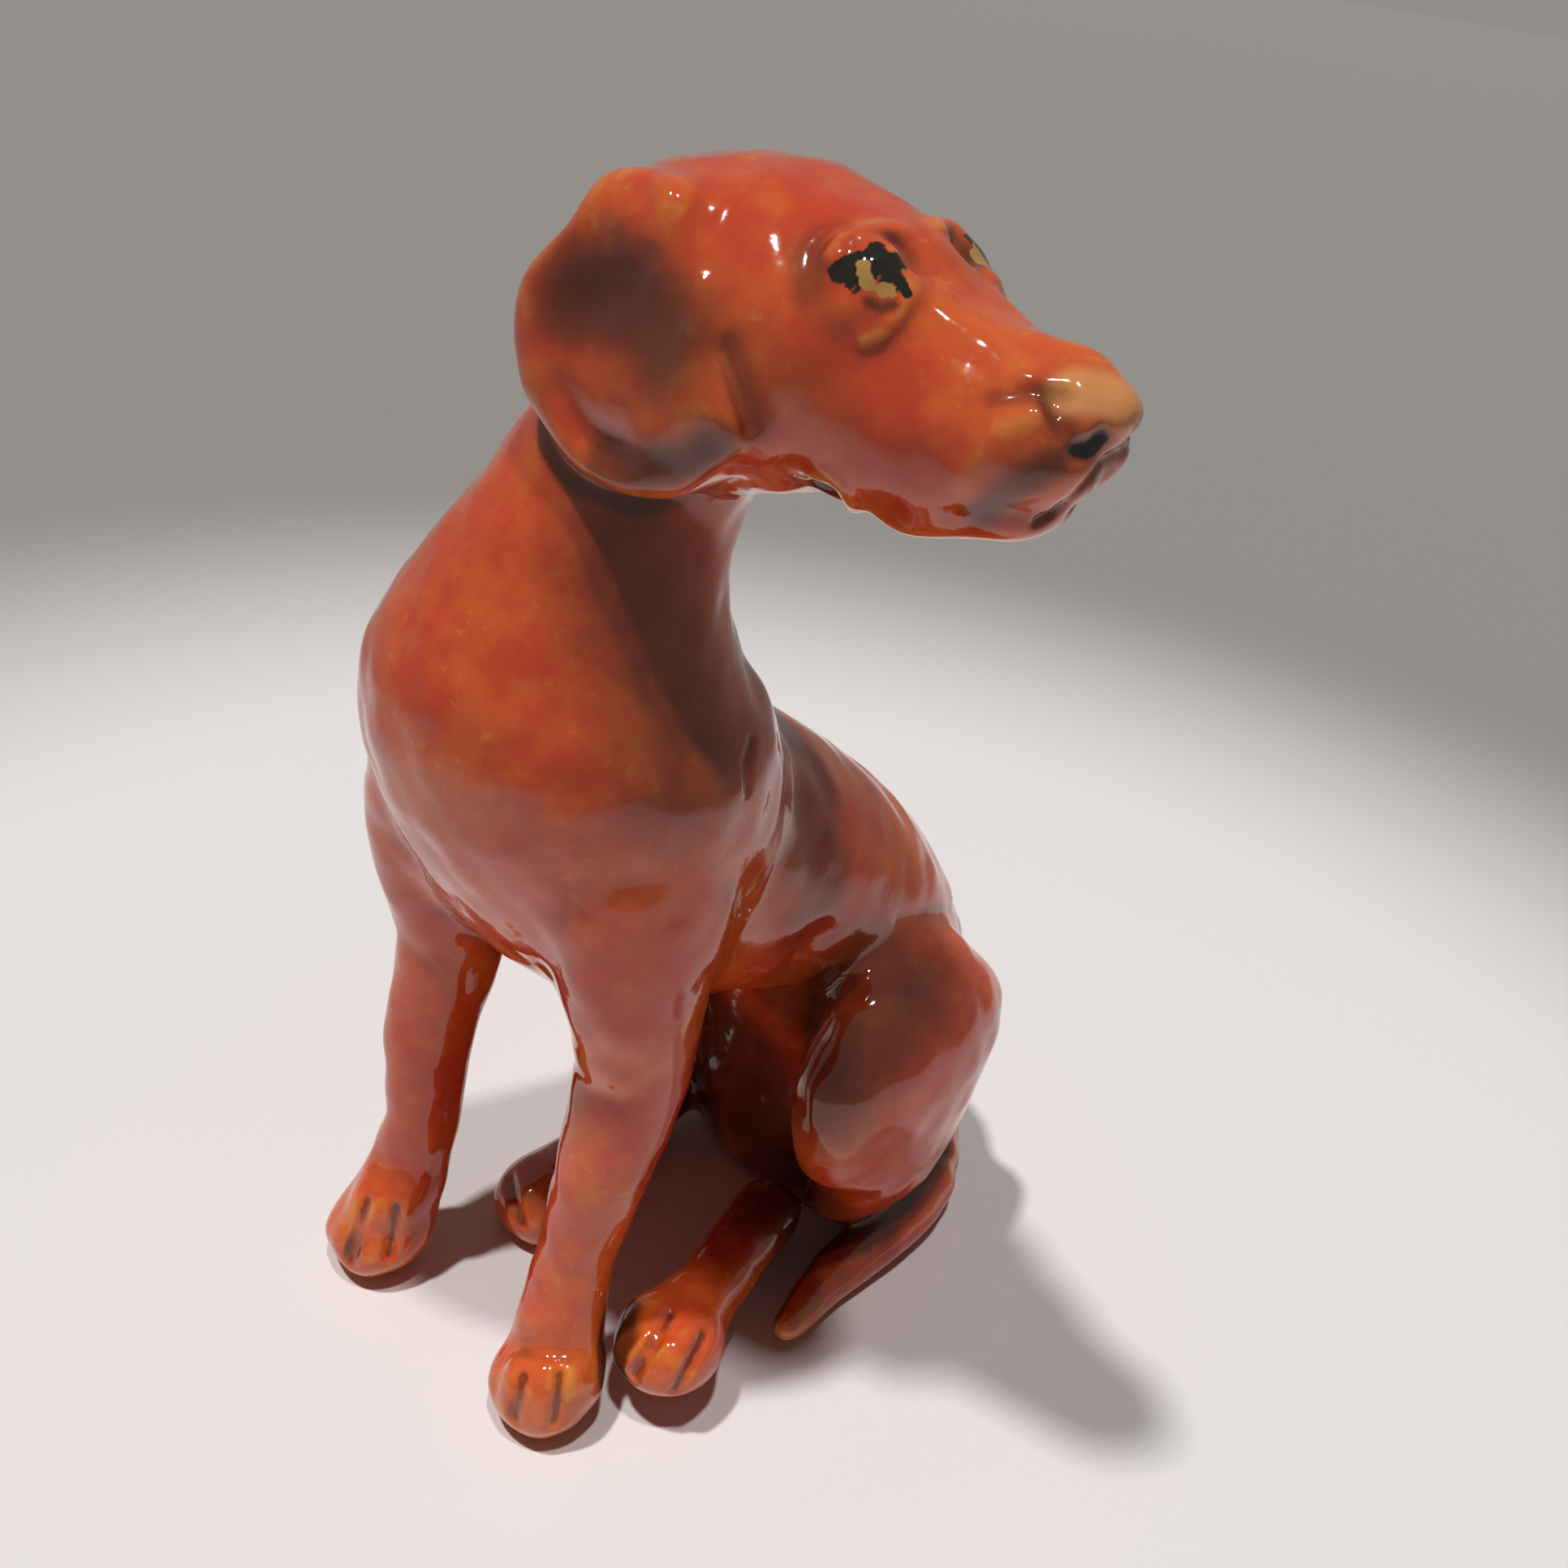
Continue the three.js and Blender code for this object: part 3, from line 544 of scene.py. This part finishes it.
BODY_SPOTS = {
    "pool_thigh": (((1000, 1240), (1060, 1195), (1115, 1215), (1010, 1350)), 9.0, 0.75),
    "pool_flank": (((985, 1030), (1015, 1090), (1000, 1140)), 6.0, 0.55),
    # Painted shade under the belly and between the legs
    "pool_belly": (((915, 1290), (940, 1400), (985, 1520)), 9.0, 0.9),
}
ONE_SIDED_SPOTS = {
    "ochre_far_eye": (((1204, 310), (1210, 322)), 0.7, 1.0),
    # Painted shade where the head's shadow falls on the throat, partly also pooled glaze
    "pool_throat": (((790, 690), (825, 830), (850, 940)), 9.0, 0.75),
    # Painted shade on the hind leg under the body
    "pool_hock": (((930, 1505), (970, 1472)), 4.0, 0.8),
    # Painted shade on the inner side of the tail
    "pool_tail": (((1035, 1562), (1090, 1525)), 3.0, 0.6),
}
# The shares of its radius between which a spot fades out
SPOT_FADES = (0.2, 1.8)
# The radius of the pool in a toe groove, as a share of the groove's own, and its strength
GROOVE_WIDTH = 0.9
GROOVE_STRENGTH = 0.4

# Curvature is taken over a fine and a broad step, and the room above the skin over a few reaches
FINE_STEP = 0.9
BROAD_STEP = 2.4
RECESS_REACHES = (2.0, 3.5, 5.0)
# Where the glaze runs thin, where it pools and where shade is painted: the value at which it starts to,
# the value at which it does so fully, and how strongly it then does. Edges, ridges, creases and hollows
# go by curvature per millimetre, recesses, whose brown is painted shade as well as pooled glaze, by the
# share of the room above the skin that is lost, and paws by the distance from the toes in millimetres.
THIN_ON_EDGES = (0.35, 1.1, 1.0)
THIN_ON_RIDGES = (0.16, 0.5, 0.8)
THIN_ON_PAWS = (24.0, 7.5, 0.75)
POOL_IN_CREASES = (-0.25, -1.3, 0.8)
POOL_IN_HOLLOWS = (-0.14, -0.5, 0.25)
POOL_AND_SHADE_IN_RECESSES = (0.1, 0.6, 1.0)


def felt(value, start, full, strength):
    """How strongly the glaze answers to a value: not at all at start, and with its strength at full."""
    return strength * rise(start, full, value)


def painted(points, path, radius):
    """One on a path, a half at its radius, and nought from nearly twice that on."""
    inner, outer = (share * radius for share in SPOT_FADES)
    near = np.all((points > path.min(0) - outer) & (points < path.max(0) + outer), axis=1)
    paint = np.zeros(len(points))
    paint[near] = 1 - rise(inner, outer, path_distance(points[near].T, path))
    return paint


def skin_paint(skin, points, grooves):
    """Numbers from 0 to 1 that the glaze reads: thin, the brown of pooled glaze and of painted shade,
    tan, ink and ochre.
    """
    fine = skin.curvature(points, FINE_STEP)
    broad = skin.curvature(points, BROAD_STEP)
    normals = skin.gradient(points)
    # Brown in recesses, where the room above the skin is lost, is painted shade as well as pooled glaze
    lost_room = [1 - skin.sample(points + reach * normals) / reach for reach in RECESS_REACHES]
    recess = sum(lost_room) / len(lost_room)
    thin = np.maximum(felt(fine, *THIN_ON_EDGES), felt(broad, *THIN_ON_RIDGES))
    pool = np.maximum(felt(fine, *POOL_IN_CREASES), felt(broad, *POOL_IN_HOLLOWS))
    paint = {"thin": thin, "pool": np.maximum(pool, felt(recess, *POOL_AND_SHADE_IN_RECESSES))}
    for kind in ("tan", "ink", "ochre"):
        paint[kind] = np.zeros(len(points))
    groups = ((SPOTS, head_mirrored), (BODY_SPOTS, body_mirrored), (ONE_SIDED_SPOTS, None))
    for spots, mirrored in groups:
        for name, (pixels, radius, strength) in spots.items():
            kind = name.split("_")[0]
            for path in skin_paths(skin, pixels, mirrored):
                paint[kind] = np.maximum(paint[kind], strength * painted(points, path, radius))
    for path, radius in grooves:
        groove = GROOVE_STRENGTH * painted(points, path, GROOVE_WIDTH * radius)
        paint["pool"] = np.maximum(paint["pool"], groove)
    for name in frame["nodes"]:
        if name.endswith(("foreleg", "hind_foot")):
            paw = felt(toe_distance(name, points), *THIN_ON_PAWS)
            paint["thin"] = np.maximum(paint["thin"], paw)
    return paint


# Parting the skin into pieces

# How far a piece's open edge turns in, and how much deeper the middle of the cap that closes it lies
SKIRT_DEPTH = 0.7
CAP_DEPTH = 0.5
# How many times the faces at the edge of an island go over to the piece next to them
ISLAND_ROUNDS = 8
# Slots of the nodes that aren't red
OTHER_SLOTS = {"nose_pad": "tan_glaze", "right_eye": "black_glaze", "left_eye": "black_glaze"}


def face_pairs(quads):
    """The two faces at each edge that a pair of faces shares, as two arrays."""
    edges = np.stack([quads, np.roll(quads, -1, 1)], -1).reshape(-1, 2)
    edges.sort(1)
    owner = np.repeat(np.arange(len(quads)), 4)
    order = np.lexsort((edges[:, 1], edges[:, 0]))
    edges, owner = edges[order], owner[order]
    shared = (edges[1:] == edges[:-1]).all(1)
    return owner[:-1][shared], owner[1:][shared]


def patches(count, a, b):
    """The number of the patch that each face is in, where the faces a and b hang together."""
    patch = np.arange(count)
    while True:
        before = patch.copy()
        low = np.minimum(patch[a], patch[b])
        np.minimum.at(patch, a, low)
        np.minimum.at(patch, b, low)
        patch = patch[patch]
        if (patch == before).all():
            return patch


def face_labels(skin, points, quads):
    """The node that each face of the skin belongs to, with no islands."""
    index = np.round(points[quads].mean(1) / CELL).astype(int) - GRID_LOW
    labels = skin.label[index[:, 0], index[:, 1], index[:, 2]].astype(int)
    a, b = face_pairs(quads)
    for _ in range(ISLAND_ROUNDS):
        same = labels[a] == labels[b]
        patch = patches(len(quads), a[same], b[same])
        sizes = np.bincount(patch, minlength=len(quads))
        island = np.zeros(len(quads), bool)
        for label in np.unique(labels):
            mine = labels == label
            main = np.argmax(np.where(mine, sizes[patch], 0))
            island |= mine & (patch != patch[main])
        if not island.any():
            break
        for here, there in ((a, b), (b, a)):
            take = island[here] & (labels[here] != labels[there])
            labels[here[take]] = labels[there[take]]
    return labels


def open_loops(faces):
    """The loops of edges that only one face uses, run against that face, as the next face has to."""
    edges = {}
    for face in faces:
        for start, end in zip(face, np.roll(face, -1)):
            if (end, start) in edges:
                del edges[(end, start)]
            else:
                edges[(start, end)] = True
    onward = {}
    for start, end in edges:
        onward.setdefault(end, []).append(start)
    loops = []
    while onward:
        first = next(iter(onward))
        loop, at = [first], first
        while at in onward:
            following = onward[at].pop()
            if not onward[at]:
                del onward[at]
            if following == first:
                break
            loop.append(following)
            at = following
        if len(loop) > 2:
            loops.append(loop)
    return loops


def capped(points, normals, quads):
    """A part of the skin with its open edges turned in and closed, and where each point comes from."""
    source, index = np.unique(quads, return_inverse=True)
    faces = index.reshape(-1, 4).tolist()
    own_points, own_normals = points[source], normals[source]
    for loop in open_loops(faces):
        count = len(loop)
        skirt = own_points[loop] - own_normals[loop] * SKIRT_DEPTH
        outward = own_normals[loop].mean(0)
        centre = skirt.mean(0) - outward * CAP_DEPTH
        first = len(own_points)
        own_points = np.vstack([own_points, skirt, centre])
        own_normals = np.vstack([own_normals, own_normals[loop], outward])
        source = np.concatenate([source, source[loop], source[loop[:1]]])
        for i in range(count):
            j = (i + 1) % count
            faces.append((loop[i], loop[j], first + j, first + i))
            faces.append((first + i, first + j, first + count))
    return own_points, own_normals, faces, source


def placed(name, data):
    """A new object in the scene."""
    thing = bpy.data.objects.new(name, data)
    bpy.context.scene.collection.objects.link(thing)
    return thing


def build_piece(name, points, normals, faces, paint, material):
    """A piece of skin, whose points carry the numbers that the glaze reads."""
    mesh = bpy.data.meshes.new(name)
    mesh.from_pydata((points * MM).tolist(), [], faces)
    for kind, values in paint.items():
        attribute = mesh.attributes.new(kind, "FLOAT", "POINT")
        attribute.data.foreach_set("value", values.astype(np.float32))
    mesh.shade_smooth()
    mesh.normals_split_custom_set_from_vertices(normals.tolist())
    mesh.materials.append(material)
    return placed(name, mesh)


def part_skin(skin, grooves):
    """One piece of skin for each node, with the paint of its glaze."""
    points, quads = surface_of(skin.field, WHOLE_GRID)
    points = np.clip(points, BOX_LOW, BOX_HIGH)
    normals = skin.gradient(points)
    paint = skin_paint(skin, points, grooves)
    labels = face_labels(skin, points, quads)
    materials = {slot: glaze(slot) for slot in ("black_glaze", "red_glaze", "tan_glaze")}
    for number, name in enumerate(skin.names):
        slot = OTHER_SLOTS.get(name, "red_glaze")
        own_points, own_normals, faces, source = capped(points, normals, quads[labels == number])
        own_paint = {kind: values[source] for kind, values in paint.items()}
        piece = build_piece(
            f"{name}_clay", own_points, own_normals, faces, own_paint, materials[slot],
        )
        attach(piece, "root")
        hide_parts(name)


# Nodes of a material

# The inputs of a Mix node that take its share and its two colours, and the output of the mixed one
MIX_INPUTS = (0, 6, 7)
MIX_OUTPUT = 2


class Nodes:
    """Short calls for the nodes of one tree."""

    def __init__(self, tree):
        self.tree = tree

    def fill(self, socket, value):
        """Links a socket to another one, or sets it to a number or a colour."""
        if isinstance(value, bpy.types.NodeSocket):
            self.tree.links.new(value, socket)
        elif socket.type == "RGBA":
            socket.default_value = (*value, 1)
        else:
            socket.default_value = value

    def fill_all(self, sockets, values):
        """Fills sockets in their order."""
        for socket, value in zip(sockets, values):
            self.fill(socket, value)

    def noise(self, scale, detail, distortion=0.0):
        """Mottling in the object's own coordinates; scale is in waves per metre."""
        place = self.tree.nodes.new("ShaderNodeTexCoord")
        noise = self.tree.nodes.new("ShaderNodeTexNoise")
        self.fill(noise.inputs["Vector"], place.outputs["Object"])
        self.fill(noise.inputs["Scale"], scale)
        self.fill(noise.inputs["Detail"], detail)
        self.fill(noise.inputs["Distortion"], distortion)
        return noise.outputs["Fac"]

    def paint(self, kind):
        """One of the numbers that the points of the skin carry."""
        attribute = self.tree.nodes.new("ShaderNodeAttribute")
        attribute.attribute_name = kind
        return attribute.outputs["Fac"]

    def math(self, operation, *values):
        """A sum, product or other operation on values."""
        node = self.tree.nodes.new("ShaderNodeMath")
        node.operation = operation
        self.fill_all(node.inputs, values)
        return node.outputs[0]

    def between(self, value, low, high, bottom=0.0, top=1.0):
        """The value's way from low to high, as a share from bottom to top."""
        node = self.tree.nodes.new("ShaderNodeMapRange")
        node.interpolation_type = "SMOOTHSTEP"
        self.fill_all(node.inputs, (value, low, high, bottom, top))
        return node.outputs[0]

    def mix(self, share, a, b):
        """Colour a turned into colour b by a share."""
        node = self.tree.nodes.new("ShaderNodeMix")
        node.data_type = "RGBA"
        self.fill_all([node.inputs[i] for i in MIX_INPUTS], (share, a, b))
        return node.outputs[MIX_OUTPUT]


def new_material(name):
    """A material, the nodes of its tree and its shader."""
    material = bpy.data.materials.new(name)
    material.use_nodes = True
    nodes = Nodes(material.node_tree)
    return material, nodes, nodes.tree.nodes["Principled BSDF"]


# The glaze

RED = (0.58, 0.054, 0.015)
ORANGE = (0.66, 0.100, 0.018)
YELLOW = (0.72, 0.24, 0.038)
# Brown of pooled glaze, also used for painted shade
BROWN = (0.060, 0.014, 0.006)
TAN = (0.66, 0.26, 0.085)
INK = (0.010, 0.006, 0.005)
OCHRE = (0.46, 0.24, 0.06)

# Noises: waves per metre, detail and, where there is one, distortion
CLOUD = (75.0, 3.0, 0.6)
SPECK = (320.0, 4.0)
STREAK = (160.0, 3.0, 1.5)
FLECK = (620.0, 3.0)
BRUSH = (800.0, 2.0)
RIPPLE = (420.0, 2.0)

# How much of the blotches comes from the clouds, the rest being specks
CLOUD_SHARE = 0.6
# How far each noise or number goes into the next colour: where it starts and where it is full,
# and, where they aren't 0 and 1, the share at the start and the share when full
BLOTCHES_TO_ORANGE = (0.40, 0.60)
STREAKS_TO_YELLOW = (0.45, 0.75)
CLOUDS_UNDER_STREAKS = (0.45, 0.7, 0.0, 0.3)
FLECKS_TO_YELLOW = (0.60, 0.70, 0.0, 0.4)
CLOUDS_UNDER_FLECKS = (0.4, 0.6)
STREAKS_IN_THIN = (0.3, 0.7, 0.45, 1.0)
THIN_TO_ORANGE = (0.1, 0.6, 0.0, 0.8)
THIN_TO_YELLOW = (0.4, 1.0, 0.0, 0.75)
CLOUDS_IN_POOL_AND_SHADE = (0.3, 0.65, 1.0, 0.85)
POOL_AND_SHADE_TO_BROWN = (0.0, 1.0, 0.0, 0.92)
TAN_EDGE = (0.1, 0.9)
BRUSH_RAGGED = (0.3, 0.7, -0.3, 0.3)
BRUSH_EDGE = (0.4, 0.6)
SPECKS_TO_ROUGHNESS = (0.3, 0.7, 0.04, 0.09)

# Gloss, and the ripples in it: their strength, and their height in metres
GLAZE_IOR = 1.6
RIPPLE_STRENGTH = 0.35
RIPPLE_HEIGHT = 0.00018


def mottled(nodes, cloud, speck, streak):
    """Red glaze, clouded with orange, and streaked and flecked with yellow."""
    clouds = nodes.math("MULTIPLY", cloud, CLOUD_SHARE)
    specks = nodes.math("MULTIPLY", speck, 1 - CLOUD_SHARE)
    blotch = nodes.math("ADD", clouds, specks)
    colour = nodes.mix(nodes.between(blotch, *BLOTCHES_TO_ORANGE), RED, ORANGE)
    streaks = nodes.between(streak, *STREAKS_TO_YELLOW)
    streaks = nodes.math("MULTIPLY", streaks, nodes.between(cloud, *CLOUDS_UNDER_STREAKS))
    colour = nodes.mix(streaks, colour, YELLOW)
    flecks = nodes.between(nodes.noise(*FLECK), *FLECKS_TO_YELLOW)
    flecks = nodes.math("MULTIPLY", flecks, nodes.between(cloud, *CLOUDS_UNDER_FLECKS))
    return nodes.mix(flecks, colour, YELLOW)


def thinned_pooled_and_shaded(nodes, colour, cloud, streak):
    """The colour turned orange and yellow where the glaze is thin, and brown where it pools and where
    shade is painted.
    """
    thin = nodes.math("MULTIPLY", nodes.paint("thin"), nodes.between(streak, *STREAKS_IN_THIN))
    colour = nodes.mix(nodes.between(thin, *THIN_TO_ORANGE), colour, ORANGE)
    colour = nodes.mix(nodes.between(thin, *THIN_TO_YELLOW), colour, YELLOW)
    # Pooled glaze and painted shade both turn the colour brown here
    pool = nodes.math("MULTIPLY", nodes.paint("pool"), nodes.between(cloud, *CLOUDS_IN_POOL_AND_SHADE))
    return nodes.mix(nodes.between(pool, *POOL_AND_SHADE_TO_BROWN), colour, BROWN)


def brushed(nodes, colour):
    """The colour with tan over it, and then with spots of ink and ochre, which have ragged edges."""
    colour = nodes.mix(nodes.between(nodes.paint("tan"), *TAN_EDGE), colour, TAN)
    ragged = nodes.between(nodes.noise(*BRUSH), *BRUSH_RAGGED)
    for kind, shade in (("ink", INK), ("ochre", OCHRE)):
        spot = nodes.math("ADD", nodes.paint(kind), ragged)
        colour = nodes.mix(nodes.between(spot, *BRUSH_EDGE), colour, shade)
    return colour


def glaze(name):
    """Iron-red glaze: orange and yellow where it runs thin, brown where it pools and as painted shade,
    and painted spots.
    """
    material, nodes, shader = new_material(name)
    cloud = nodes.noise(*CLOUD)
    speck = nodes.noise(*SPECK)
    streak = nodes.noise(*STREAK)
    colour = mottled(nodes, cloud, speck, streak)
    colour = thinned_pooled_and_shaded(nodes, colour, cloud, streak)
    nodes.fill(shader.inputs["Base Color"], brushed(nodes, colour))
    nodes.fill(shader.inputs["Roughness"], nodes.between(speck, *SPECKS_TO_ROUGHNESS))
    shader.inputs["IOR"].default_value = GLAZE_IOR
    bump = nodes.tree.nodes.new("ShaderNodeBump")
    bump.inputs["Strength"].default_value = RIPPLE_STRENGTH
    bump.inputs["Distance"].default_value = RIPPLE_HEIGHT
    nodes.fill(bump.inputs["Height"], nodes.noise(*RIPPLE))
    nodes.fill(shader.inputs["Normal"], bump.outputs["Normal"])
    return material


# Camera, floor and light

# The floor: half its side, its colours by the object and far away, and the distances in metres
# over which the first fades into the second, a painted pool of light round the object
FLOOR_HALF = 12.0
FLOOR_NEAR = (0.80, 0.76, 0.745)
FLOOR_FAR = (0.28, 0.265, 0.245)
FLOOR_LIGHT_FALLOFF = (0.15, 0.30)
FLOOR_ROUGHNESS = 0.45
# The light from all round, and the colour that is seen and mirrored there
AMBIENT = (0.05, 0.05, 0.05)
BACKDROP = (0.285, 0.27, 0.25)
# Each lamp: its azimuth from +X, its elevation, the angle it fills in degrees and its strength
LAMPS = {
    "main_lamp": (238.0, 72.0, 3.5, 1.98),
    "second_lamp": (318.0, 81.0, 3.5, 1.12),
}


def camera():
    """The camera of the photograph."""
    right, down, forward = camera_axes()
    data = bpy.data.cameras.new("camera")
    data.lens = data.sensor_width * FOCAL_PIXELS / IMAGE_SIZE
    data.clip_start, data.clip_end = CAMERA_REACH
    eye = placed("camera", data)
    columns = Matrix([Vector(right), Vector(-down), Vector(-forward)]).transposed()
    eye.matrix_world = Matrix.Translation(Vector(CAMERA_PLACE) * MM) @ columns.to_4x4()
    bpy.context.scene.camera = eye


def floor():
    """A pale floor with a painted pool of light round the object, light grey away from it."""
    half = FLOOR_HALF
    corners = [(-half, -half, 0), (half, -half, 0), (half, half, 0), (-half, half, 0)]
    mesh = bpy.data.meshes.new("floor")
    mesh.from_pydata(corners, [], [(0, 1, 2, 3)])
    material, nodes, shader = new_material("floor")
    place = nodes.tree.nodes.new("ShaderNodeTexCoord")
    length = nodes.tree.nodes.new("ShaderNodeVectorMath")
    length.operation = "LENGTH"
    nodes.fill(length.inputs[0], place.outputs["Object"])
    far = nodes.between(length.outputs["Value"], *FLOOR_LIGHT_FALLOFF)
    nodes.fill(shader.inputs["Base Color"], nodes.mix(far, FLOOR_NEAR, FLOOR_FAR))
    shader.inputs["Roughness"].default_value = FLOOR_ROUGHNESS
    mesh.materials.append(material)
    placed("floor", mesh)


def lights():
    """Two distant lamps, from the directions that the highlights in the photograph show."""
    for name, (azimuth, elevation, angle, strength) in LAMPS.items():
        azimuth, elevation = math.radians(azimuth), math.radians(elevation)
        level = math.cos(elevation)
        direction = Vector((level * math.cos(azimuth), level * math.sin(azimuth), math.sin(elevation)))
        data = bpy.data.lights.new(name, "SUN")
        data.angle = math.radians(angle)
        data.energy = strength
        lamp = placed(name, data)
        lamp.location = direction
        lamp.rotation_euler = direction.to_track_quat("Z", "Y").to_euler()


def world():
    """Low even light, and a pale backdrop for what is seen or mirrored."""
    sky = bpy.data.worlds.new("world")
    sky.use_nodes = True
    nodes = Nodes(sky.node_tree)
    rays = nodes.tree.nodes.new("ShaderNodeLightPath").outputs
    shown = rays["Is Camera Ray"]
    for kind in ("Is Glossy Ray", "Is Transmission Ray"):
        shown = nodes.math("MAXIMUM", shown, rays[kind])
    colour = nodes.mix(shown, AMBIENT, BACKDROP)
    nodes.fill(nodes.tree.nodes["Background"].inputs["Color"], colour)
    bpy.context.scene.world = sky


skin = clay_skin()
part_skin(skin, sculpt(skin))
camera()
floor()
lights()
world()
bpy.context.scene.view_settings.view_transform = "Standard"
